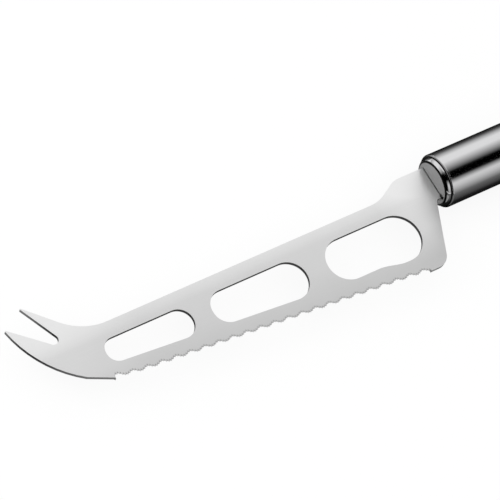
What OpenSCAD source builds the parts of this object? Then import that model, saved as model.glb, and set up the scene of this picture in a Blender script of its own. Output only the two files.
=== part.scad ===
// Cheese knife: a pierced, serrated and forked blade held in a round tube handle
// X runs along the handle's axis from the fork to the butt, Y points to the spine
// Z is square to the blade, and the origin is the centre of the handle tube's front rim

/* [Blade] */
// Length of the blade from the handle's front rim to the tip of the fork
blade_l = 152.8; // [130:0.1:180]
// Thickness of the blade
blade_t = 1.4; // [0.8:0.1:2]
// Height of the straight spine above the handle's axis
spine_h = 1.2; // [0.5:0.1:3]
// Depth of the heel below the handle's axis
heel_h = 26.5; // [22:0.05:32]
// Slope of the cutting edge against the handle's axis, in degrees
edge_angle = 4.85; // [3:0.05:7]
// Width of the metal left between the windows and the spine
spine_rim_w = 5.35; // [4:0.05:7]
// Width of the metal left between the windows and the cutting edge
edge_rim_w = 5.4; // [4:0.1:7]

/* [Neck and heel] */
// Radius of the outer corner of the step from the neck down to the spine
neck_r = 7; // [4:0.1:9]
// Radius of the hollow at the foot of that step
step_r = 12; // [6:0.1:14]
// Radius of the inner corner between the tang and the heel
tang_corner_r = 1.2; // [0.5:0.1:2]
// Radius of the outer corner at the bottom of the heel
heel_r = 4.9; // [3:0.1:7]

/* [Fork] */
// Height of the upper point above the handle's axis
upper_point_h = 16.6; // [14:0.1:19]
// Height of the lower point above the handle's axis
lower_point_h = 11.4; // [10:0.1:13]
// Radius that blunts each point
point_r = 0.2; // [0.15:0.01:0.4]
// Radius at the bottom of the gap between the points
fork_gap_r = 1.65; // [1.2:0.05:2]
// Radius of the hollow between the fork and the spine
fork_hollow_r = 19; // [10:0.5:20]
// Radius of the belly below the fork
belly_r = 37; // [30:0.1:45]

/* [Serration] */
// Distance from one scallop to the next
scallop_pitch = 4.87; // [4:0.01:6]
// Depth of the scallops
scallop_depth = 0.85; // [0.5:0.05:1.1]
// Depth of the fine teeth on the scallops
tooth_depth = 0.22; // [0.1:0.01:0.3]
// Number of fine teeth on each scallop
teeth_per_scallop = 6; // [4:1:8]
// Angle between the ground bevel and the blade's flat, in degrees
grind_angle = 19; // [15:1:30]
// Radius of the rise at the front of the cutting edge
edge_rise_r = 72; // [50:1:120]
// Length of the rise at the front of the cutting edge
edge_rise_l = 12; // [6:0.5:16]

/* [Handle tube] */
// Outer diameter of the tube
tube_d = 18; // [16:0.1:22]
// Length of the tube
tube_l = 132; // [110:1:150]
// Wall of the tube
tube_wall = 0.6; // [0.5:0.05:1]

/* [Front plug] */
// Height of the plug's flat face in front of the tube's rim
head_h = 1.85; // [1.2:0.05:2.5]
// Width of the rounded shoulder around the flat face
shoulder_w = 1.1; // [0.9:0.05:1.6]
// Width of the groove that parts the flat face from the shoulder
groove_w = 0.5; // [0.15:0.01:0.6]
// Depth of that groove, from the flat face
groove_depth = 0.6; // [0.3:0.05:0.7]
// Width of the seam between the shoulder and the tube
seam_w = 0.15; // [0.1:0.01:0.25]
// Depth of the seam
seam_depth = 0.8; // [0.5:0.1:1.5]
// Metal left on the flat face beyond each end of the slot
slot_land = 1.35; // [1:0.05:2]
// Length of the plug inside the tube
plug_l = 25; // [20:1:32]
// Width of the relief along the slot's mouth, on each side of the tang
mouth_w = 0.3; // [0.1:0.05:0.5]
// Depth of that relief
mouth_depth = 0.5; // [0.3:0.05:0.8]
// Length of the small notch beyond the slot's lower end
notch_l = 0.7; // [0.3:0.05:1]
// Rise of that notch above the tang's near face
notch_rise = 0.8; // [0.4:0.05:1.2]
// Depth of that notch
notch_depth = 0.5; // [0.2:0.05:0.8]

/* [Tang and cross pin] */
// Metal of the plug behind the end of the tang
plug_end_wall = 4; // [3:0.5:6]
// Diameter of the cross pin
pin_d = 3; // [2:0.1:4]
// Distance from the tube's front rim to the cross pin
pin_x = 12; // [9:0.5:14]
// Radius of the corners at the end of the tang
tang_end_r = 1.5; // [1:0.1:2.5]

/* [End cap] */
// Length of the cap behind the tube
cap_h = 5; // [4:0.1:8]
// Drop of the cap's end from its centre to its edge
cap_drop = 0.9; // [0.5:0.1:1.5]
// Radius of the cap's outer edge
cap_edge_r = 3; // [2:0.1:4]
// Length of the cap's spigot inside the tube
cap_spigot_l = 12; // [8:1:16]
// Radius of the bore that lightens the spigot
cap_bore_r = 5.5; // [4:0.1:6]

/* [Fits] */
// Clearance of the plug and the cap in the tube, on the radius
tube_clear = 0.02; // [0.01:0.01:0.05]
// Clearance of the tang in its slot, on each side
slot_clear = 0.05; // [0.02:0.01:0.1]
// Clearance of the cross pin in its holes, on the radius
pin_clear = 0.02; // [0.01:0.01:0.04]
// Chamfer at the ends of the cross pin and of both spigots
end_chamfer = 0.4; // [0.2:0.05:0.6]

/* [Hidden] */

$fn = 96;
arc_step = 5;
overrun = 1;

tube_r = tube_d / 2;
bore_r = tube_r - tube_wall;
spigot_r = bore_r - tube_clear;
head_r = bore_r - seam_w;
face_r = head_r - shoulder_w;
tang_w = 2 * (face_r - slot_land);
tang_l = plug_l - plug_end_wall;
pin_r = pin_d / 2;
pin_hole_r = pin_r + pin_clear;

// Places along the blade, as shares of its length from the handle's rim
heel_top_share = 0.0252;
heel_low_share = 0.0825;
neck_share = 0.087;
step_share = 0.1435;
serration_shares = [0.124, 0.8495];
spine_end_share = 0.857;
upper_point_share = 0.9532;
fork_root_share = 0.8878;
belly_corner_share = 0.8992;

// Heights of the fork's root and of the belly's corner, as shares of the lower point's height
fork_root_height_share = -0.384;
belly_corner_height_share = -1.093;

// Each window's ends, from the handle's rim, as shares of the blade's length, and its rim below
// the spine, as a share of that rim's width
window_shares = [[0.0995, 0.322, 1.025], [0.3724, 0.5952, 1], [0.6397, 0.839, 0.975]];
// Radii of a window's rear and front ends, as shares of its height there
window_end_shares = [0.475, 0.495];
// Places along the rear window where its lower side bends down and levels again, and the places
// where it meets the rim's width, as shares of its length from its front end
step_down_shares = [0.478, 0.678];
step_level_shares = [0.14, 0.73];
// Radius of both bends of that step, as a share of the rear window's length
step_down_r_share = 0.45;

// Share of a scallop from the heel's end of the serration to its first valley
first_valley_share = 0.587;
// Power that narrows the valleys between the scallops
valley_power = 1.2;
// Metal left below the cutting edge for the grinding to take off, and at both its ends
edge_stock = tooth_depth + scallop_depth / 2;
edge_land = tooth_depth / 2;

serration_from = -blade_l * serration_shares[0];
serration_to = -blade_l * serration_shares[1];
serration_l = (serration_from - serration_to) / cos(edge_angle);

// Unit vector along v
function unit(v) = v / norm(v);

// Points along an arc about a centre, from one angle through a turn
function arc(centre, r, from, turn) =
    let (steps = ceil(abs(turn) / arc_step))
    [for (i = [0 : steps]) centre + r * [cos(from + turn * i / steps), sin(from + turn * i / steps)]];

// Angle of v, and the turn from one angle to another, taken the short way
function angle(v) = atan2(v.y, v.x);
function short_turn(from, to) =
    let (d = to - from)
    d > 180 ? d - 360 : d < -180 ? d + 360 : d;

// Arc that rounds the corner at b between a and c
function fillet(a, b, c, r) =
    let (
        u = unit(a - b),
        v = unit(c - b),
        half = acos(u * v) / 2,
        centre = b + unit(u + v) * r / sin(half),
        from = angle(b + u * r / tan(half) - centre),
        to = angle(b + v * r / tan(half) - centre)
    )
    arc(centre, r, from, short_turn(from, to));

// Outline through corners given as [[x, y], r], where r of zero leaves the corner sharp
function rounded(corners) =
    let (n = len(corners))
    [for (i = [0 : n - 1])
        let (
            a = corners[(i + n - 1) % n][0],
            b = corners[i][0],
            c = corners[(i + 1) % n][0],
            r = corners[i][1]
        )
        each r > 0 ? fillet(a, b, c, r) : [b]];

// Arc of radius r from a to b, which turns to the left
function arc_between(a, b, r) =
    let (
        half = (b - a) / 2,
        rise = sqrt(r * r - half * half),
        centre = a + half + rise * unit([-half.y, half.x]),
        from = angle(a - centre)
    )
    arc(centre, r, from, short_turn(from, angle(b - centre)));

// Height of the cutting edge's straight line at a place along the handle's axis
function edge_y(x) = -heel_h + (serration_from - x) * tan(edge_angle);

// Rise of the cutting edge above that line, at a distance along it from the heel
function edge_rise(u) = pow(max(0, u - serration_l + edge_rise_l), 2) / (2 * edge_rise_r);

// Height of the scallops above their lowest points, at a distance from the heel
function scallop(u) =
    scallop_depth * pow((1 + cos(360 * (u / scallop_pitch - first_valley_share))) / 2, valley_power);

// Outer outline of the blade with its tang, before the edge is ground
neck_top = tang_w / 2;
toe = [serration_to, edge_y(serration_to) + edge_rise(serration_l)];
lower_point = [-blade_l, lower_point_h];
belly_corner = [-blade_l * belly_corner_share, lower_point_h * belly_corner_height_share];
belly = arc_between(lower_point + point_r * [0, -3], belly_corner, belly_r);
outline = concat(
    rounded([
        [[tang_l, neck_top], tang_end_r],
        [[-blade_l * neck_share, neck_top], neck_r],
        [[-blade_l * step_share, spine_h], step_r],
        [[-blade_l * spine_end_share, spine_h], fork_hollow_r],
        [[-blade_l * upper_point_share, upper_point_h], point_r],
        [[-blade_l * fork_root_share, lower_point_h * fork_root_height_share], fork_gap_r],
        [lower_point, point_r],
        for (p = belly) [p, 0],
        [toe, 0],
        [[serration_to + edge_stock, edge_y(serration_to) - edge_stock], 0],
        [[serration_from - edge_stock, edge_y(serration_from) - edge_stock], 0],
        [[serration_from, -heel_h], 0],
        [[-blade_l * heel_low_share, -heel_h], heel_r],
        [[-blade_l * heel_top_share, -neck_top], tang_corner_r],
        [[tang_l, -neck_top], tang_end_r]
    ])
);

// Outline of a window whose lower side follows the cutting edge
function window_bottom(x) = edge_y(x) + edge_rim_w;
function window_outline(shares) =
    let (
        rear = -blade_l * shares[0],
        front = -blade_l * shares[1],
        top = spine_h - spine_rim_w * shares[2],
        rear_r = window_end_shares[0] * (top - window_bottom(rear)),
        front_r = window_end_shares[1] * (top - window_bottom(front))
    )
    rounded([
        [[rear, top], rear_r],
        [[front, top], front_r],
        [[front, window_bottom(front)], front_r],
        [[rear, window_bottom(rear)], rear_r]
    ]);

// Outline of the rear window, whose lower side runs level and then steps down
function stepped_outline(shares) =
    let (
        rear = -blade_l * shares[0],
        front = -blade_l * shares[1],
        length = rear - front,
        top = spine_h - spine_rim_w * shares[2],
        high = window_bottom(front + length * step_level_shares[0]),
        low = window_bottom(front + length * step_level_shares[1]),
        rear_r = window_end_shares[1] * (top - low),
        front_r = window_end_shares[1] * (top - high),
        bend_r = step_down_r_share * length
    )
    rounded([
        [[rear, top], rear_r],
        [[front, top], front_r],
        [[front, high], front_r],
        [[front + length * step_down_shares[0], high], bend_r],
        [[front + length * step_down_shares[1], low], bend_r],
        [[rear, low], rear_r]
    ]);

// Space that the grinding takes off the far side, which leaves the serrated edge
grind_steps = floor(serration_l / scallop_pitch * teeth_per_scallop * 2);
grind_reach = blade_t / sin(grind_angle) + edge_stock + overrun;
grind_profile = concat(
    [for (i = [0 : grind_steps])
        let (u = edge_land + (serration_l - 2 * edge_land) * i / grind_steps)
        [-u, (edge_rise(u) + scallop(u) + tooth_depth * (i % 2)) * sin(grind_angle)]],
    [[edge_land - serration_l, -blade_t - edge_stock], [-edge_land, -blade_t - edge_stock]]
);

module grind() {
    translate([serration_from, -heel_h, blade_t / 2])
        rotate([0, 0, -edge_angle])
            rotate([90 - grind_angle, 0, 0])
                linear_extrude(height = 2 * grind_reach, center = true)
                    polygon(grind_profile);
}

// A bar of blade thickness, run past both faces of the blade
module through() {
    linear_extrude(height = blade_t + 2 * overrun, center = true)
        children();
}

// Turns a profile, drawn as radius and place along the axis, about the handle's axis
module turned() {
    rotate([0, 90, 0])
        rotate_extrude()
            children();
}

module blade() {
    color("gainsboro")
        difference() {
            linear_extrude(height = blade_t, center = true)
                polygon(outline);
            through()
                polygon(stepped_outline(window_shares[0]));
            for (i = [1, 2])
                through()
                    polygon(window_outline(window_shares[i]));
            grind();
            translate([pin_x, 0, 0])
                cylinder(r = pin_hole_r, h = blade_t + 2 * overrun, center = true);
        }
}

// Rounded shoulder of the plug, from the groove out to the seam
shoulder_r = (shoulder_w * shoulder_w + head_h * head_h) / (2 * shoulder_w);
shoulder_from = 180 - acos((shoulder_r - shoulder_w + groove_w) / shoulder_r);
shoulder = [for (p = arc([head_r - shoulder_r, 0], shoulder_r, -shoulder_from + 180, shoulder_from - 180))
    [p.x, -p.y]];

module front_plug() {
    color("darkgray")
        difference() {
            turned()
                polygon(concat(
                    [
                        [0, -head_h],
                        [face_r, -head_h],
                        [face_r, groove_depth - head_h],
                        [face_r + groove_w, groove_depth - head_h]
                    ],
                    shoulder,
                    [
                        [head_r, seam_depth],
                        [spigot_r, seam_depth],
                        [spigot_r, plug_l - end_chamfer],
                        [spigot_r - end_chamfer, plug_l],
                        [0, plug_l]
                    ]
                ));
            translate([-head_h - overrun, -tang_w / 2 - slot_clear, -blade_t / 2 - slot_clear])
                cube([head_h + overrun + tang_l + slot_clear, tang_w + 2 * slot_clear, blade_t + 2 * slot_clear]);
            translate([-head_h - overrun, -tang_w / 2 - slot_clear, -blade_t / 2 - mouth_w])
                cube([overrun + mouth_depth, tang_w + 2 * slot_clear, blade_t + 2 * mouth_w]);
            translate([-head_h - overrun, -tang_w / 2 - notch_l, 0])
                cube([overrun + notch_depth, notch_l + overrun, blade_t / 2 + notch_rise]);
            translate([pin_x, 0, 0])
                cylinder(r = pin_hole_r, h = tube_d, center = true);
        }
}

// The pin ends just below the spigot's round surface, so that the tube covers it
pin_half_l = sqrt(spigot_r * spigot_r - pin_r * pin_r) - tube_clear;

module cross_pin() {
    color("silver")
        translate([pin_x, 0, 0])
            rotate_extrude()
                polygon([
                    [0, -pin_half_l],
                    [pin_r - end_chamfer, -pin_half_l],
                    [pin_r, end_chamfer - pin_half_l],
                    [pin_r, pin_half_l - end_chamfer],
                    [pin_r - end_chamfer, pin_half_l],
                    [0, pin_half_l]
                ]);
}

module handle_tube() {
    color("slategray")
        rotate([0, 90, 0])
            difference() {
                cylinder(r = tube_r, h = tube_l);
                translate([0, 0, -overrun])
                    cylinder(r = bore_r, h = tube_l + 2 * overrun);
            }
}

// Profile of the cap, from the bore round the spigot and the head to the centre of its end
cap_profile = rounded([
    [[0, tube_l + cap_h], 0],
    [[tube_r, tube_l + cap_h - cap_drop], cap_edge_r],
    [[tube_r, tube_l], 0],
    [[spigot_r, tube_l], 0],
    [[spigot_r, tube_l - cap_spigot_l + end_chamfer], 0],
    [[spigot_r - end_chamfer, tube_l - cap_spigot_l], 0],
    [[cap_bore_r, tube_l - cap_spigot_l], 0],
    [[cap_bore_r, tube_l], 0],
    [[0, tube_l], 0]
]);

module end_cap() {
    color("gray")
        turned()
            polygon(cap_profile);
}

blade();
front_plug();
cross_pin();
handle_tube();
end_cap();
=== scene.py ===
"""The looks of a cheese knife: a satin blade with a fork tip, in a round steel tube handle."""
import math

import bmesh
import bpy
from mathutils import Matrix, Vector


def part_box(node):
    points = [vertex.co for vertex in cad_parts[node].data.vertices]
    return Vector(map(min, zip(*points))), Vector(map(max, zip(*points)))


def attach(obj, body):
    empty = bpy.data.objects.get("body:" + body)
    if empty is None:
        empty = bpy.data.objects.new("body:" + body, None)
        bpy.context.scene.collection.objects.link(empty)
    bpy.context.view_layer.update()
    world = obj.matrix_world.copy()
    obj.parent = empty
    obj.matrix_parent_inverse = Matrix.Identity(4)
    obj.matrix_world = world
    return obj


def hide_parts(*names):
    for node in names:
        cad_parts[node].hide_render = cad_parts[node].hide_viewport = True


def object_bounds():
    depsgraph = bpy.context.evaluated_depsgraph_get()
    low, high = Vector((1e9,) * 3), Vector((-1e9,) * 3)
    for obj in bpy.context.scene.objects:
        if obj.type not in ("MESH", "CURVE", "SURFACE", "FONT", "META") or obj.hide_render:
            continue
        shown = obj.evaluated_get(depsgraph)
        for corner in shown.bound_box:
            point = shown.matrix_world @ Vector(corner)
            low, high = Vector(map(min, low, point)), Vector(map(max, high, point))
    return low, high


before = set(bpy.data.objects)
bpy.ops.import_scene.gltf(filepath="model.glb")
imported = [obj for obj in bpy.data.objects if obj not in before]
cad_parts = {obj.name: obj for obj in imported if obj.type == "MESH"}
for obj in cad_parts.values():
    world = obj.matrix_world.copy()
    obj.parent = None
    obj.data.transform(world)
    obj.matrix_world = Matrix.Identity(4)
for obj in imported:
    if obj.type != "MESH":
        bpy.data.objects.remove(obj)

bl_info = {
    "name": "Cheese Knife",
    "version": (1, 0, 0),
    "blender": (4, 5, 0),
    "location": "View3D > Sidebar > Cheese Knife",
    "description": "Dresses the blade and the handle of a cheese knife and sets up its studio",
    "category": "Add Mesh",
}

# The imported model's places, in metres
MM = 0.001
CAD_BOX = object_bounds()
BLADE_LOW, BLADE_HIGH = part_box("blade")
PLUG_LOW, PLUG_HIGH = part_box("front_plug")
TUBE_LOW, TUBE_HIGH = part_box("handle_tube")

# The cutting edge's line, its rise at the front, its scallops and its fine teeth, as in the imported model
EDGE_ANGLE = math.radians(4.85)
EDGE_SHARES = (0.124, 0.8495)
EDGE_START = Vector((BLADE_LOW.x * EDGE_SHARES[0], -26.5 * MM))
EDGE_LENGTH = BLADE_LOW.x * (EDGE_SHARES[0] - EDGE_SHARES[1]) / math.cos(EDGE_ANGLE)
EDGE_RISE_L = 12 * MM
EDGE_RISE_R = 72 * MM
SCALLOP_PITCH = 4.87 * MM
SCALLOP_DEPTH = 0.85 * MM
FIRST_VALLEY_SHARE = 0.587
VALLEY_POWER = 1.2
TEETH_PER_SCALLOP = 6
TOOTH_LAND = 0.11 * MM

# The fork: where it begins, and the line along its lower point that parts its gap from its belly
FORK_BEGIN = -134 * MM
FORK_LINE_START = Vector((-135.7 * MM, -2.9 * MM))
FORK_LINE_SLOPE = -0.57

# Where the easing of the blade's edges ends, just in front of the plug
EASED_TO = TUBE_LOW.x - 3 * MM
# What a face's normal has along Z where the face is a wall of the sheet, or its flat
WALL_Z = 0.05
FLAT_Z = 0.999
# The slots of the blade's other steels, after the flat's
CUT_SLOT, GROUND_SLOT, BEVEL_SLOT = 1, 2, 3


# Sizes and colours that a user would change
class BladeFinish(bpy.types.PropertyGroup):
    """Finish of the blade"""
    spine_ease: bpy.props.FloatProperty(
        name="Spine easing", description="How far the spine's edges are rounded",
        default=0.3 * MM, min=0.05 * MM, max=0.6 * MM, subtype="DISTANCE", unit="LENGTH")
    edge_ease: bpy.props.FloatProperty(
        name="Edge easing", description="How far the edges toward the cutting edge are rounded",
        default=0.08 * MM, min=0.02 * MM, max=0.3 * MM, subtype="DISTANCE", unit="LENGTH")
    # The two ends of a painted sheen across the blade's flat: lighter toward the spine, darker toward the
    # edge
    spine_sheen_steel: bpy.props.StringProperty(
        name="Steel at the spine", description="Colour of the satin steel at the spine", default="#f0f0f0")
    edge_shade_steel: bpy.props.StringProperty(
        name="Steel at the edge", description="Colour of the satin steel at the cutting edge",
        default="#c7c7c7")
    cut_wall: bpy.props.StringProperty(
        name="Cut walls", description="Colour of the walls inside the windows and the fork",
        default="#9a9a9a")
    ground_wall: bpy.props.StringProperty(
        name="Ground walls", description="Colour of the walls around the outside", default="#d8d8d8")
    grain: bpy.props.FloatProperty(
        name="Grain", description="Width of a line of the satin grain",
        default=0.3 * MM, min=0.05 * MM, max=1 * MM, subtype="DISTANCE", unit="LENGTH")
    roughness: bpy.props.FloatProperty(
        name="Roughness", description="Roughness of the satin flat", default=0.3, min=0.0, max=1.0)
    tooth_cut: bpy.props.FloatProperty(
        name="Tooth cut", description="How much deeper the gaps between the fine teeth are cut",
        default=0.2 * MM, min=0.0, max=0.4 * MM, subtype="DISTANCE", unit="LENGTH")
    # The colour of the painted shade at the gaps between the fine teeth and along the edge
    tooth_shade_steel: bpy.props.StringProperty(
        name="Tooth cuts", description="Colour of the steel that the cutting of the teeth left",
        default="#484848")


class HandleFinish(bpy.types.PropertyGroup):
    """Finish of the tube, the plug, the pin and the cap"""
    steel: bpy.props.StringProperty(
        name="Steel", description="Colour of the polished steel", default="#d9d9da")
    face: bpy.props.StringProperty(
        name="Turned face", description="Colour of the plug's flat face", default="#e2e2e2")
    # The colour of the painted shade in the groove, the seam and the bore
    recess_shade: bpy.props.StringProperty(
        name="Recesses", description="Colour inside the groove, the seam and the bore", default="#2b2b2b")
    # The colour of the painted shade on the tube's rounded front end
    sawn_end_shade: bpy.props.StringProperty(
        name="Sawn end", description="Colour of the tube's front end, where it was sawn", default="#585858")
    wire: bpy.props.StringProperty(
        name="Wire", description="Colour of the cross pin's steel", default="#c4c4c5")
    face_r: bpy.props.FloatProperty(
        name="Face radius", description="Radius of the plug's flat face",
        default=7.15 * MM, min=6 * MM, max=7.5 * MM, subtype="DISTANCE", unit="LENGTH")
    groove_w: bpy.props.FloatProperty(
        name="Groove width", description="Width of the groove around that face",
        default=0.5 * MM, min=0.1 * MM, max=1 * MM, subtype="DISTANCE", unit="LENGTH")
    rim_r: bpy.props.FloatProperty(
        name="Rim radius", description="Rounding of the tube's front and rear rims",
        default=0.5 * MM, min=0.05 * MM, max=0.55 * MM, subtype="DISTANCE", unit="LENGTH")
    roughness: bpy.props.FloatProperty(
        name="Roughness", description="Roughness of the tube", default=0.14, min=0.0, max=1.0)


class StudioSettings(bpy.types.PropertyGroup):
    """Floor, cards and lamp"""
    scrim_r: bpy.props.FloatProperty(
        name="Scrim radius", description="Distance of the small scrim from the handle's axis",
        default=28 * MM, min=15 * MM, max=100 * MM, subtype="DISTANCE", unit="LENGTH")
    tent_r: bpy.props.FloatProperty(
        name="Tent radius", description="Distance of the tent from the handle's axis",
        default=1.0, min=0.5, max=2.0, subtype="DISTANCE", unit="LENGTH")
    floor_glow: bpy.props.FloatProperty(
        name="Floor glow", description="Share of the floor's brightness that no shadow takes away",
        default=0.9, min=0.0, max=1.0)
    lamp_power: bpy.props.FloatProperty(
        name="Lamp power", description="Power of the soft lamp, in watts", default=1.6, min=0.0)


def linear(hex_colour, share=1.0):
    """An sRGB hex colour, or a share of its light, as linear red, green, blue and alpha."""
    channels = [int(hex_colour[i:i + 2], 16) / 255 for i in (1, 3, 5)]
    light = [c / 12.92 if c <= 0.04045 else ((c + 0.055) / 1.055) ** 2.4 for c in channels]
    return (*[c * share for c in light], 1.0)


def add(tree, kind, inputs=(), stops=(), **settings):
    """Adds a node of a kind with its settings and links. An input has the name or the number that the node
    shows it by, and is a value, an output, or a node that gives its first output. A colour ramp has stops
    of (place, grey level)."""
    made = tree.nodes.new("ShaderNode" + kind)
    for name, value in settings.items():
        setattr(made, name, value)
    shown = [socket for socket in made.inputs if socket.enabled]
    for key, value in dict(inputs).items():
        socket = shown[key] if isinstance(key, int) else next(s for s in shown if s.name == key)
        if isinstance(value, bpy.types.Node):
            value = next(s for s in value.outputs if s.enabled)
        if isinstance(value, bpy.types.NodeSocket):
            tree.links.new(value, socket)
        else:
            socket.default_value = value
    elements = made.color_ramp.elements if stops else ()
    while len(elements) < len(stops):
        elements.new(0.5)
    for element, (place, level) in zip(elements, stops):
        element.position = place
        element.color = (level, level, level, 1)
    return made


def graded(tree, value, stops):
    """Grey levels that run from stop to stop of (place, level) along a value, and hold beyond the ends."""
    low, high = stops[0][0], stops[-1][0]
    share = add(tree, "MapRange", {"Value": value, "From Min": low, "From Max": high})
    shares = [((place - low) / (high - low), level) for place, level in stops]
    return add(tree, "ValToRGB", {"Fac": share}, shares)


def bare_material(name):
    """A new material and its empty node tree."""
    material = bpy.data.materials.new(name)
    material.use_nodes = True
    material.node_tree.nodes.clear()
    return material, material.node_tree


def steel_surface(tree, inputs):
    """Ends a node tree in a metal with these inputs."""
    shader = add(tree, "BsdfPrincipled", {"Metallic": 1.0, **inputs})
    add(tree, "OutputMaterial", {"Surface": shader})


def object_place(tree):
    """The place on a piece, in metres, and its three parts."""
    place = add(tree, "TexCoord").outputs["Object"]
    return place, add(tree, "SeparateXYZ", {"Vector": place}).outputs


def fine_lines(tree, place, stretch, width):
    """Fine lines of a width, drawn out along the axes whose stretch is small. Real scratches and drawing
    lines are some hundredths of a millimetre wide, too fine to show, so all widths here are coarser."""
    drawn = add(tree, "Mapping", {"Vector": place, "Scale": stretch})
    return add(tree, "TexNoise", {"Vector": drawn, "Scale": 1 / width, "Detail": 3.0, "Roughness": 0.6})


# Steels of the blade
def above_edge(tree, place):
    """The distance along the cutting edge from the heel, and the height above its scallops."""
    turned = Matrix.Rotation(EDGE_ANGLE, 2) @ EDGE_START
    local = add(tree, "Mapping", {
        "Vector": place, "Rotation": (0, 0, EDGE_ANGLE), "Location": (-turned.x, -turned.y, 0)})
    parts = add(tree, "SeparateXYZ", {"Vector": local}).outputs
    along = add(tree, "Math", {0: parts["X"], 1: -1.0}, operation="MULTIPLY")
    wave = add(tree, "Math", {
        0: along, 1: math.tau / SCALLOP_PITCH, 2: -math.tau * FIRST_VALLEY_SHARE}, operation="MULTIPLY_ADD")
    wave = add(tree, "Math", {0: wave}, operation="COSINE")
    wave = add(tree, "Math", {0: wave, 1: 0.5, 2: 0.5}, operation="MULTIPLY_ADD")
    wave = add(tree, "Math", {0: wave, 1: VALLEY_POWER}, operation="POWER")
    rise = add(tree, "Math", {0: along, 1: EDGE_LENGTH - EDGE_RISE_L}, operation="SUBTRACT")
    rise = add(tree, "Math", {0: rise, 1: 0.0}, operation="MAXIMUM")
    rise = add(tree, "Math", {0: rise, 1: 2.0}, operation="POWER")
    rise = add(tree, "Math", {0: rise, 1: 2 * EDGE_RISE_R}, operation="DIVIDE")
    edge = add(tree, "Math", {0: wave, 1: SCALLOP_DEPTH, 2: rise}, operation="MULTIPLY_ADD")
    return along, add(tree, "Math", {0: parts["Y"], 1: edge}, operation="SUBTRACT")


def painted_tooth_shade(tree, place):
    """One where painted shade darkens the blade, running inward from the gaps between the fine teeth, with
    a faint painted shade along the whole edge."""
    along, above = above_edge(tree, place)
    teeth = round(EDGE_LENGTH / SCALLOP_PITCH * TEETH_PER_SCALLOP)
    half_step = (EDGE_LENGTH - 2 * TOOTH_LAND) / teeth / 2
    gap = add(tree, "Math", {0: along, 1: TOOTH_LAND}, operation="SUBTRACT")
    gap = add(tree, "Math", {0: gap, 1: half_step}, operation="DIVIDE")
    gap = add(tree, "Math", {0: gap, 1: 1.0}, operation="PINGPONG")
    across = add(tree, "MapRange", {"Value": gap, "From Min": 0.35, "From Max": 0.9})
    inward = add(tree, "MapRange", {"Value": above, "From Min": 1.1 * MM, "From Max": 0.35 * MM})
    dark_share = add(tree, "Math", {0: across, 1: inward}, operation="MULTIPLY")
    shade = add(tree, "MapRange", {
        "Value": above, "From Min": 0.8 * MM, "From Max": 0.0, "To Min": 0.0, "To Max": 0.25})
    dark_share = add(tree, "Math", {0: dark_share, 1: shade}, operation="MAXIMUM")
    begun = add(tree, "Math", {0: along, 1: 0.0}, operation="GREATER_THAN")
    going = add(tree, "Math", {0: along, 1: EDGE_LENGTH}, operation="LESS_THAN")
    dark_share = add(tree, "Math", {0: dark_share, 1: begun}, operation="MULTIPLY")
    return add(tree, "Math", {0: dark_share, 1: going}, operation="MULTIPLY")


def satin_flat(finish):
    """Stainless sheet belt-ground along the blade, with a soft satin that blurs what it mirrors. Its colour
    carries a painted sheen: lighter at the spine, darker toward the edge, and lighter again at the heel and
    the belly."""
    material, tree = bare_material("satin_ground_stainless_sheet")
    place, parts = object_place(tree)
    grain = fine_lines(tree, place, (0.03, 1.0, 1.0), finish.grain)
    patches = add(tree, "TexNoise", {"Vector": place, "Scale": 1 / (9 * MM), "Detail": 2.0})
    # Painted sheen: lighter toward the spine, darker toward the edge
    sheen = graded(tree, parts["Y"], [
        (-24 * MM, 0.02), (-12 * MM, 0.3), (-3 * MM, 0.37), (-1 * MM, 0.56), (1.2 * MM, 0.7),
        (5 * MM, 0.79)])
    # More painted sheen toward the belly at the front and the heel at the back, kept off the lowest strip
    # above the edge
    belly = add(tree, "MapRange", {
        "Value": parts["X"], "From Min": -115 * MM, "From Max": -140 * MM, "To Max": 0.22})
    heel = add(tree, "MapRange", {
        "Value": parts["X"], "From Min": -24 * MM, "From Max": -6 * MM, "To Max": 0.7})
    ends = add(tree, "Math", {0: belly, 1: heel}, operation="ADD")
    up = add(tree, "MapRange", {"Value": parts["Y"], "From Min": -23 * MM, "From Max": -13 * MM})
    sheen = add(tree, "Math", {0: ends, 1: up, 2: sheen}, operation="MULTIPLY_ADD")
    sheen = add(tree, "Math", {0: grain, 1: 0.12, 2: sheen}, operation="MULTIPLY_ADD")
    sheen = add(tree, "Math", {0: patches, 1: 0.1, 2: sheen}, operation="MULTIPLY_ADD")
    sheen = add(tree, "Math", {0: sheen, 1: 0.11}, operation="SUBTRACT")
    colour = add(tree, "Mix", {
        "Factor": sheen, "A": linear(finish.edge_shade_steel), "B": linear(finish.spine_sheen_steel)}, data_type="RGBA")
    # Painted shade at the gaps between the fine teeth and along the edge
    colour = add(tree, "Mix", {
        "Factor": painted_tooth_shade(tree, place), "A": colour, "B": linear(finish.tooth_shade_steel)}, data_type="RGBA")
    rough = add(tree, "MapRange", {
        "Value": grain, "To Min": finish.roughness - 0.03, "To Max": finish.roughness + 0.03})
    bump = add(tree, "Bump", {"Height": grain, "Distance": 0.002 * MM, "Strength": 0.2})
    steel_surface(tree, {"Base Color": colour, "Roughness": rough, "Normal": bump})
    return material


def wall_steel(name, colour, roughness):
    """The sheet's cut or ground wall: fine upright drag lines through the thickness of the sheet, which
    break what it mirrors into short upright streaks."""
    material, tree = bare_material(name)
    drag = fine_lines(tree, object_place(tree)[0], (1.0, 1.0, 0.05), 0.15 * MM)
    shade = add(tree, "Mix", {
        "Factor": drag, "A": linear(colour, 0.75), "B": linear(colour)}, data_type="RGBA")
    steel_surface(tree, {"Base Color": shade, "Roughness": roughness})
    return material


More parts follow.
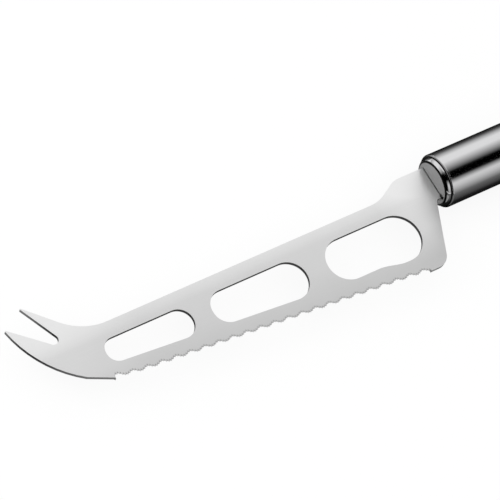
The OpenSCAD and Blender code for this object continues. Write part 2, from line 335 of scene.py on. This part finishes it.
def bevel_steel(finish):
    """The wheel-ground bevel of the cutting edge: short bright scratches square to the edge."""
    material, tree = bare_material("wheel_ground_stainless_bevel")
    scratches = fine_lines(tree, object_place(tree)[0], (1.0, 0.06, 0.06), 0.12 * MM)
    shade = add(tree, "Mix", {
        "Factor": scratches, "A": linear(finish.edge_shade_steel), "B": linear(finish.spine_sheen_steel)},
        data_type="RGBA")
    steel_surface(tree, {"Base Color": shade, "Roughness": 0.25})
    return material


# Shapes of the pieces
def link_piece(name, bm, materials):
    """Makes a mesh object at the origin from a bmesh, and frees the bmesh."""
    mesh = bpy.data.meshes.new(name)
    bm.to_mesh(mesh)
    bm.free()
    for material in materials:
        mesh.materials.append(material)
    piece = bpy.data.objects.new(name, mesh)
    bpy.context.scene.collection.objects.link(piece)
    return piece


def node_copy(node):
    """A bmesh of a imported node's mesh, with its triangles joined into one skin of flat faces."""
    bm = bmesh.new()
    bm.from_mesh(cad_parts[node].data)
    bmesh.ops.remove_doubles(bm, verts=bm.verts, dist=0.0005 * MM)
    bmesh.ops.dissolve_limit(bm, angle_limit=math.radians(0.3), verts=bm.verts, edges=bm.edges)
    bm.normal_update()
    return bm


def finished_piece(name, bm, materials, node):
    """Turns a bmesh into the smooth-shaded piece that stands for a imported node."""
    for face in bm.faces:
        face.smooth = True
    piece = link_piece(name, bm, materials)
    piece.data.set_sharp_from_angle(angle=math.radians(30))
    even = piece.modifiers.new("even_shading", "WEIGHTED_NORMAL")
    even.keep_sharp = True
    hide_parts(node)
    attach(piece, "root")


def dress(node, material):
    """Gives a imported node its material."""
    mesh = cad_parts[node].data
    mesh.materials.clear()
    mesh.materials.append(material)


def deepen_gaps(bm, depth):
    """Cuts the gaps between the fine teeth deeper, on the blade's near side."""
    near = BLADE_HIGH.z - 0.01 * MM
    rim = {e for e in bm.edges if all(v.co.z > near for v in e.verts)
           and any(WALL_Z < abs(f.normal.z) < FLAT_Z for f in e.link_faces)}
    gaps = []
    for vert in {v for e in rim for v in e.verts}:
        beside = [e.other_vert(vert).co for e in vert.link_edges if e in rim]
        if len(beside) == 2 and vert.co.y - (beside[0].y + beside[1].y) / 2 > 0.1 * MM:
            gaps.append(vert)
    if not gaps:
        raise RuntimeError("The blade has no gaps between fine teeth")
    bmesh.ops.translate(bm, verts=gaps, vec=(0, depth, 0))


def ease_edges(bm, toward_spine, ease):
    """Rounds the edges between the sheet's flats and its walls in front of the tang: either those whose
    walls face the spine, or the others."""
    chosen = []
    for edge in bm.edges:
        walls = [f for f in edge.link_faces if abs(f.normal.z) < WALL_Z]
        flats = [f for f in edge.link_faces if abs(f.normal.z) > FLAT_Z]
        bare = max(v.co.x for v in edge.verts) <= EASED_TO
        if bare and len(walls) == 1 and len(flats) == 1 and (walls[0].normal.y > 0.3) == toward_spine:
            chosen.append(edge)
    bmesh.ops.bevel(bm, geom=chosen, offset=ease, offset_type="OFFSET", affect="EDGES", segments=3,
                    profile=0.5, material=-1, clamp_overlap=True)
    bm.normal_update()


def wall_groups(bm):
    """The sheet's wall faces, in groups that touch: one group for each window, one for the outside."""
    left = {f for f in bm.faces if abs(f.normal.z) < WALL_Z}
    groups = []
    while left:
        group = [left.pop()]
        for face in group:
            for edge in face.edges:
                for other in edge.link_faces:
                    if other in left:
                        left.remove(other)
                        group.append(other)
        groups.append(group)
    return groups


def part_walls(bm):
    """Gives the windows and the fork cut walls, the outside ground walls, and the edge its bevel."""
    for group in wall_groups(bm):
        reach = [f.calc_center_median().x for f in group]
        window = min(reach) > FORK_BEGIN and max(reach) < TUBE_LOW.x
        for face in group:
            middle = face.calc_center_median()
            line = FORK_LINE_START.y + (middle.x - FORK_LINE_START.x) * FORK_LINE_SLOPE
            fork = middle.x < FORK_BEGIN and middle.y > line
            face.material_index = CUT_SLOT if window or fork else GROUND_SLOT
    for face in bm.faces:
        low = face.normal.y < 0 and face.calc_center_median().y < -12 * MM
        if low and 0.5 < abs(face.normal.z) < FLAT_Z:
            face.material_index = BEVEL_SLOT


class KNIFE_OT_blade(bpy.types.Operator):
    """Makes the blade with an eased spine, a satin flat, cut walls and a ground bevel"""
    bl_idname = "knife.blade"
    bl_label = "Blade"

    def execute(self, context):
        finish = context.scene.knife_blade
        bm = node_copy("blade")
        deepen_gaps(bm, finish.tooth_cut)
        ease_edges(bm, True, finish.spine_ease)
        ease_edges(bm, False, finish.edge_ease)
        part_walls(bm)
        finished_piece("blade_sheet", bm, [
            satin_flat(finish), wall_steel("as_cut_stainless_wall", finish.cut_wall, 0.5),
            wall_steel("ground_stainless_wall", finish.ground_wall, 0.4), bevel_steel(finish)],
            "blade")
        return {"FINISHED"}


# Steels of the handle
def ring_place(tree, parts):
    """The distance from the handle's axis."""
    across = add(tree, "CombineXYZ", {"Y": parts["Y"], "Z": parts["Z"]})
    return add(tree, "VectorMath", {"Vector": across}, operation="LENGTH")


def polished_tube(finish):
    """Drawn stainless tube, polished along its length: a mirror drawn out softly by fine lines. Its sawn
    front end is painted darker and its bore is painted dark, both as painted shade."""
    material, tree = bare_material("polished_stainless_tube")
    place, parts = object_place(tree)
    # Painted shade on the tube's inner wall, in the bore
    bore = add(tree, "MapRange", {
        "Value": ring_place(tree, parts), "From Min": TUBE_HIGH.z - 0.36 * MM,
        "From Max": TUBE_HIGH.z - 0.44 * MM})
    # Painted shade on the tube's rounded front end, toward the sawn end's dark colour
    end = add(tree, "MapRange", {
        "Value": parts["X"], "From Min": TUBE_LOW.x + 0.4 * MM, "From Max": TUBE_LOW.x + 0.05 * MM,
        "To Max": 0.75})
    colour = add(tree, "Mix", {
        "Factor": end, "A": linear(finish.steel), "B": linear(finish.sawn_end_shade)}, data_type="RGBA")
    colour = add(tree, "Mix", {
        "Factor": bore, "A": colour, "B": linear(finish.recess_shade)}, data_type="RGBA")
    drawn = fine_lines(tree, place, (0.02, 1.0, 1.0), 0.4 * MM)
    rough = add(tree, "MapRange", {
        "Value": drawn, "To Min": finish.roughness - 0.02, "To Max": finish.roughness + 0.02})
    bump = add(tree, "Bump", {"Height": drawn, "Distance": 0.001 * MM, "Strength": 0.1})
    steel_surface(tree, {"Base Color": colour, "Roughness": rough, "Normal": bump})
    return material


def turned_plug(finish):
    """Turned stainless bar: fine marks on a dull flat face, and a mirror-bright shoulder between the groove
    around that face and the seam to the tube. The groove, the face's outer rim and the seam are painted
    dark, as painted shade."""
    material, tree = bare_material("turned_stainless_bar")
    place, parts = object_place(tree)
    radius = ring_place(tree, parts)
    in_front = add(tree, "MapRange", {
        "Value": parts["X"], "From Min": PLUG_LOW.x + 0.07 * MM, "From Max": PLUG_LOW.x + 0.03 * MM})
    # The face ends a little inside its radius, so that the groove's painted shade also darkens the face's
    # rim
    within = add(tree, "MapRange", {
        "Value": radius, "From Min": finish.face_r - 0.02 * MM, "From Max": finish.face_r - 0.26 * MM})
    face = add(tree, "Math", {0: in_front, 1: within}, operation="MULTIPLY")
    groove_r = finish.face_r + finish.groove_w
    inner = add(tree, "MapRange", {
        "Value": radius, "From Min": groove_r, "From Max": groove_r - 0.04 * MM})
    # Painted shade in the groove and on the face's rim, and in the seam just inside the tube's front
    groove = add(tree, "Math", {0: inner, 1: face}, operation="SUBTRACT")
    seam = add(tree, "MapRange", {
        "Value": parts["X"], "From Min": TUBE_LOW.x - 0.4 * MM, "From Max": TUBE_LOW.x - 0.25 * MM})
    recess_shade = add(tree, "Math", {0: groove, 1: seam}, operation="MAXIMUM")
    marks = fine_lines(tree, place, (1.0, 0.08, 1.0), 0.3 * MM)
    dull = add(tree, "Mix", {
        "Factor": marks, "A": linear(finish.face, 0.8), "B": linear(finish.face)}, data_type="RGBA")
    colour = add(tree, "Mix", {"Factor": face, "A": linear(finish.steel), "B": dull}, data_type="RGBA")
    colour = add(tree, "Mix", {
        "Factor": recess_shade, "A": colour, "B": linear(finish.recess_shade)}, data_type="RGBA")
    rough = add(tree, "MapRange", {"Value": inner, "To Min": 0.09, "To Max": 0.5})
    steel_surface(tree, {"Base Color": colour, "Roughness": rough})
    return material


def turned_cap(finish):
    """Polished stainless cap: bright, with fine rings left by the turning tool, which spread what its end
    mirrors."""
    material, tree = bare_material("polished_stainless_cap")
    radius = ring_place(tree, object_place(tree)[1])
    rings = add(tree, "TexNoise", {
        "W": radius, "Scale": 1 / (0.25 * MM), "Detail": 1.0}, noise_dimensions="1D")
    rough = add(tree, "MapRange", {"Value": rings, "To Min": 0.12, "To Max": 0.3})
    steel_surface(tree, {"Base Color": linear(finish.steel), "Roughness": rough})
    return material


def drawn_pin(finish):
    """Bright drawn stainless wire, cut to length: fine marks drawn along it."""
    material, tree = bare_material("drawn_stainless_wire")
    marks = fine_lines(tree, object_place(tree)[0], (1.0, 1.0, 0.05), 0.1 * MM)
    rough = add(tree, "MapRange", {"Value": marks, "To Min": 0.25, "To Max": 0.4})
    steel_surface(tree, {"Base Color": linear(finish.wire), "Roughness": rough})
    return material


class KNIFE_OT_tube(bpy.types.Operator):
    """Spins the handle's tube with rounded rims, down to the plug's own radius, and polishes it"""
    bl_idname = "knife.tube"
    bl_label = "Handle tube"

    def execute(self, context):
        finish = context.scene.knife_handle
        length, wall = TUBE_HIGH.x - TUBE_LOW.x, TUBE_HIGH.z - PLUG_HIGH.z
        middle = Vector(((TUBE_LOW.x + TUBE_HIGH.x) / 2, (TUBE_HIGH.z + PLUG_HIGH.z) / 2, 0))
        bm = bmesh.new()
        bmesh.ops.create_grid(bm, x_segments=1, y_segments=1, size=0.5)
        bmesh.ops.scale(bm, verts=bm.verts, vec=(length, wall, 1))
        bmesh.ops.translate(bm, verts=bm.verts, vec=middle)
        corners = [v for v in bm.verts if v.co.y > middle.y]
        bmesh.ops.bevel(bm, geom=corners, offset=finish.rim_r, offset_type="OFFSET", affect="VERTICES",
                        segments=6, profile=0.5, material=-1, clamp_overlap=True)
        bmesh.ops.delete(bm, geom=bm.faces[:], context="FACES_ONLY")
        bmesh.ops.spin(bm, geom=bm.verts[:] + bm.edges[:], axis=(1, 0, 0), cent=(0, 0, 0),
                       angle=math.tau, steps=144, use_merge=True)
        bmesh.ops.recalc_face_normals(bm, faces=bm.faces)
        finished_piece("tube_body", bm, [polished_tube(finish)], "handle_tube")
        return {"FINISHED"}


class KNIFE_OT_plug(bpy.types.Operator):
    """Makes the front plug smooth, with a dull face and a bright shoulder"""
    bl_idname = "knife.plug"
    bl_label = "Front plug"

    def execute(self, context):
        finish = context.scene.knife_handle
        finished_piece("plug_body", node_copy("front_plug"), [turned_plug(finish)],
                       "front_plug")
        return {"FINISHED"}


class KNIFE_OT_pin(bpy.types.Operator):
    """Gives the cross pin its drawn steel"""
    bl_idname = "knife.pin"
    bl_label = "Cross pin"

    def execute(self, context):
        dress("cross_pin", drawn_pin(context.scene.knife_handle))
        return {"FINISHED"}


class KNIFE_OT_cap(bpy.types.Operator):
    """Gives the end cap its turned steel"""
    bl_idname = "knife.cap"
    bl_label = "End cap"

    def execute(self, context):
        dress("end_cap", turned_cap(context.scene.knife_handle))
        return {"FINISHED"}


# The studio
# Grey levels of the tent's two bright bands and of the black one between them, at their edges, by the
# angle in degrees from overhead toward the spine's side
TENT_BANDS = [
    (-102, 0.17), (-66, 0.73), (-54, 0.78), (-32, 0.0), (-7, 0.0), (42, 0.98), (66, 1.0), (102, 0.12)]
# The same bands on the small scrim, moved for the tube's own radius
SCRIM_BANDS = [
    (-90, 0.17), (-58.5, 0.75), (-49, 0.84), (-30.5, 0.0), (-7, 0.0), (2, 0.19), (33, 1.0), (55, 1.0),
    (86, 0.15)]
# One where the tent lies well away from what the blade's flat mirrors, by the same angle
AWAY_FROM_FLAT = [(-105, 1.0), (0, 1.0), (10, 0.0), (34, 0.0), (46, 1.0), (105, 1.0)]
# Grey levels of the dark mats under the handle, the heel and the blade, by the place across in millimetres
HANDLE_MAT = [
    (-200, 0.3), (-74, 0.18), (-40, 0.13), (-24, 0.08), (-16, 0.012), (0, 0.0), (22, 0.01), (40, 0.05),
    (80, 0.14), (200, 0.2)]
HEEL_MAT = [(-200, 0.1), (-60, 0.16), (-40, 0.35), (-20, 0.3), (20, 0.3), (200, 0.7)]
BLADE_MAT = [
    (-200, 0.1), (-60, 0.16), (-40, 0.4), (-24, 0.3), (-10, 0.12), (-3, 0.02), (4, 0.02), (9, 0.5),
    (16, 0.9), (200, 0.95)]
# Where the small scrim begins and ends, and where the mats meet, along the handle's axis
SCRIM_FROM, SCRIM_TO = 7.8 * MM, 200 * MM
MAT_ENDS = (-200 * MM, -14 * MM, -4 * MM, 500 * MM)
MAT_WIDTH = 400 * MM
# How far the floor reaches to each side, in metres
FLOOR_REACH = 8
WHITE = (1, 1, 1, 1)
BLACK = (0, 0, 0, 1)


def card(name, bm, material, level):
    """A studio card that glows at a level of its node tree and that only reflections see."""
    light = add(material.node_tree, "Emission", {"Color": level})
    add(material.node_tree, "OutputMaterial", {"Surface": light})
    material.cycles.emission_sampling = "NONE"
    thing = link_piece(name, bm, [material])
    thing.visible_camera = False
    thing.visible_diffuse = False
    thing.visible_shadow = False
    thing.visible_transmission = False


def banded(tree, parts, bands):
    """Grey levels by the angle about the handle's axis."""
    turn = add(tree, "Math", {0: parts["Y"], 1: parts["Z"]}, operation="ARCTAN2")
    return graded(tree, add(tree, "Math", {0: turn}, operation="DEGREES"), bands)


def curved_cloth(low, high, radius):
    """A bmesh of a cloth curved over the handle as a half round, from one place along it to another."""
    bm = bmesh.new()
    ends = [bm.verts.new((x, -radius, 0)) for x in (low, high)]
    rail = bm.edges.new(ends)
    bmesh.ops.spin(bm, geom=[*ends, rail], angle=-math.pi, steps=180, axis=(1, 0, 0), cent=(0, 0, 0))
    return bm


def small_scrim(studio):
    """A graduated scrim curved closely over the handle, which gives the tube its bright and dark bands."""
    material, tree = bare_material("graduated_scrim_cloth")
    level = banded(tree, object_place(tree)[1], SCRIM_BANDS)
    card("small_scrim", curved_cloth(SCRIM_FROM, SCRIM_TO, studio.scrim_r), material, level)


def tent(studio):
    """A large tent with the same bands in front of the handle, which the rounded rims mirror. Toward the
    fork it is black on the cutting edge's side and dim on the spine's. Toward the handle it fades to white,
    soonest where the blade's flat mirrors it."""
    radius = studio.tent_r
    material, tree = bare_material("tent_cloth")
    parts = object_place(tree)[1]
    bands = banded(tree, parts, TENT_BANDS)
    low_side = add(tree, "MapRange", {"Value": parts["Y"], "From Min": 0.2 * radius, "From Max": 0.0})
    far = add(tree, "MapRange", {
        "Value": parts["X"], "From Min": -0.25 * radius, "From Max": -0.55 * radius})
    black = add(tree, "Math", {0: low_side, 1: far}, operation="MULTIPLY")
    level = add(tree, "Mix", {"Factor": black, "A": bands, "B": BLACK}, data_type="RGBA")
    dim = add(tree, "MapRange", {
        "Value": parts["X"], "From Min": -0.9 * radius, "From Max": -1.3 * radius, "To Max": 0.4})
    level = add(tree, "Mix", {"Factor": dim, "A": level, "B": BLACK}, data_type="RGBA")
    away = banded(tree, parts, AWAY_FROM_FLAT)
    begin = add(tree, "Math", {0: away, 1: 0.43 * radius, 2: -0.15 * radius}, operation="MULTIPLY_ADD")
    end = add(tree, "Math", {0: away, 1: 0.3 * radius, 2: 0.05 * radius}, operation="MULTIPLY_ADD")
    fade = add(tree, "MapRange", {"Value": parts["X"], "From Min": begin, "From Max": end})
    level = add(tree, "Mix", {"Factor": fade, "A": level, "B": WHITE}, data_type="RGBA")
    card("tent", curved_cloth(-3 * radius, 0.36 * radius, radius), material, level)


def dark_mat(name, low, high, levels):
    """A graduated mat just above the floor, which darkens the knife's undersides and walls."""
    material, tree = bare_material(name + "_cloth")
    level = graded(tree, object_place(tree)[1]["Y"], [(across * MM, grey) for across, grey in levels])
    bm = bmesh.new()
    bmesh.ops.create_grid(bm, x_segments=1, y_segments=1, size=0.5)
    bmesh.ops.scale(bm, verts=bm.verts, vec=(high - low, MAT_WIDTH, 1))
    bmesh.ops.translate(bm, verts=bm.verts, vec=((low + high) / 2, 0, CAD_BOX[0].z + 0.05 * MM))
    card(name, bm, material, level)


def floor(studio):
    """A plain floor of matt white paper, bright enough for a white ground, that keeps a faint shadow."""
    material, tree = bare_material("white_paper")
    paper = add(tree, "BsdfDiffuse", {"Color": WHITE})
    glow = add(tree, "Emission", {"Color": WHITE})
    rays = add(tree, "LightPath").outputs
    seen = rays["Is Camera Ray"]
    for ray in ("Is Glossy Ray", "Is Transmission Ray"):
        seen = add(tree, "Math", {0: seen, 1: rays[ray]}, operation="MAXIMUM")
    share = add(tree, "Math", {0: seen, 1: studio.floor_glow}, operation="MULTIPLY")
    mixed = add(tree, "MixShader", {0: share, 1: paper, 2: glow})
    add(tree, "OutputMaterial", {"Surface": mixed})
    material.cycles.emission_sampling = "NONE"
    bm = bmesh.new()
    bmesh.ops.create_grid(bm, x_segments=1, y_segments=1, size=FLOOR_REACH)
    bmesh.ops.translate(bm, verts=bm.verts, vec=(0, 0, CAD_BOX[0].z))
    link_piece("floor", bm, [material])


def lamp(studio):
    """A soft lamp above the fork's side, for the shadow on the floor only."""
    light = bpy.data.lights.new("softbox", "AREA")
    light.shape = "SQUARE"
    light.size = 0.6
    light.energy = studio.lamp_power
    thing = bpy.data.objects.new("softbox", light)
    thing.visible_glossy = False
    bpy.context.scene.collection.objects.link(thing)
    toward = Vector((-0.75, 0.45, 0.48)).normalized()
    distance = 0.9
    turned = toward.to_track_quat("Z", "Y").to_matrix().to_4x4()
    thing.matrix_world = Matrix.Translation(toward * distance) @ turned


def white_room():
    """Soft white light from overhead, which falls off toward the walls of the room."""
    world = bpy.data.worlds.new("white_room")
    world.use_nodes = True
    tree = world.node_tree
    tree.nodes.clear()
    way = add(tree, "TexCoord").outputs["Generated"]
    height = add(tree, "SeparateXYZ", {"Vector": way}).outputs["Z"]
    strength = add(tree, "MapRange", {
        "Value": height, "From Min": 0.05, "From Max": 0.5, "To Min": 0.4, "To Max": 1.0})
    back = add(tree, "Background", {"Color": WHITE, "Strength": strength})
    add(tree, "OutputWorld", {"Surface": back})
    world.cycles.sampling_method = "NONE"
    bpy.context.scene.world = world


def camera():
    """A long lens at the photograph's viewing angle."""
    azimuth, elevation, roll = (math.radians(a) for a in (-55.938, 59.283, 28.221))
    aim = Vector((-68.94, 3.94, 0)) * MM
    distance = 971.96 * MM
    level = math.cos(elevation)
    back = Vector((math.sin(azimuth) * level, -math.cos(azimuth) * level, math.sin(elevation)))
    right = Vector((0, 0, 1)).cross(back).normalized()
    turned = Matrix((right, back.cross(right), back)).transposed() @ Matrix.Rotation(roll, 3, "Z")
    data = bpy.data.cameras.new("camera")
    data.sensor_width = 36
    data.lens = 226.48
    data.clip_start = 0.01
    data.clip_end = 50
    thing = bpy.data.objects.new("camera", data)
    bpy.context.scene.collection.objects.link(thing)
    thing.matrix_world = Matrix.Translation(aim + back * distance) @ turned.to_4x4()
    bpy.context.scene.camera = thing


class KNIFE_OT_stage(bpy.types.Operator):
    """Sets up the floor, the cards, the lamp and the camera"""
    bl_idname = "knife.stage"
    bl_label = "Studio"

    def execute(self, context):
        studio = context.scene.knife_studio
        white_room()
        floor(studio)
        small_scrim(studio)
        tent(studio)
        dark_mat("handle_mat", MAT_ENDS[2], MAT_ENDS[3], HANDLE_MAT)
        dark_mat("heel_mat", MAT_ENDS[1], MAT_ENDS[2], HEEL_MAT)
        dark_mat("blade_mat", MAT_ENDS[0], MAT_ENDS[1], BLADE_MAT)
        lamp(studio)
        camera()
        context.scene.view_settings.view_transform = "Standard"
        return {"FINISHED"}


class KNIFE_PT_panel(bpy.types.Panel):
    """Lists the knife's operators and settings"""
    bl_idname = "KNIFE_PT_panel"
    bl_label = "Cheese Knife"
    bl_space_type = "VIEW_3D"
    bl_region_type = "UI"
    bl_category = "Cheese Knife"

    def draw(self, context):
        groups = (
            ((KNIFE_OT_blade,), context.scene.knife_blade),
            ((KNIFE_OT_tube, KNIFE_OT_plug, KNIFE_OT_pin, KNIFE_OT_cap), context.scene.knife_handle),
            ((KNIFE_OT_stage,), context.scene.knife_studio))
        for operators, settings in groups:
            box = self.layout.box()
            for operator in operators:
                box.operator(operator.bl_idname)
            for name in settings.__annotations__:
                box.prop(settings, name)


CLASSES = (
    BladeFinish, HandleFinish, StudioSettings, KNIFE_OT_blade, KNIFE_OT_tube, KNIFE_OT_plug, KNIFE_OT_pin,
    KNIFE_OT_cap, KNIFE_OT_stage, KNIFE_PT_panel)


def register():
    for made in CLASSES:
        bpy.utils.register_class(made)
    bpy.types.Scene.knife_blade = bpy.props.PointerProperty(type=BladeFinish)
    bpy.types.Scene.knife_handle = bpy.props.PointerProperty(type=HandleFinish)
    bpy.types.Scene.knife_studio = bpy.props.PointerProperty(type=StudioSettings)


def unregister():
    del bpy.types.Scene.knife_studio
    del bpy.types.Scene.knife_handle
    del bpy.types.Scene.knife_blade
    for made in reversed(CLASSES):
        bpy.utils.unregister_class(made)


def main():
    register()
    bpy.ops.knife.stage()
    bpy.ops.knife.blade()
    bpy.ops.knife.tube()
    bpy.ops.knife.cap()
    bpy.ops.knife.plug()
    bpy.ops.knife.pin()


if __name__ == "__main__":
    main()
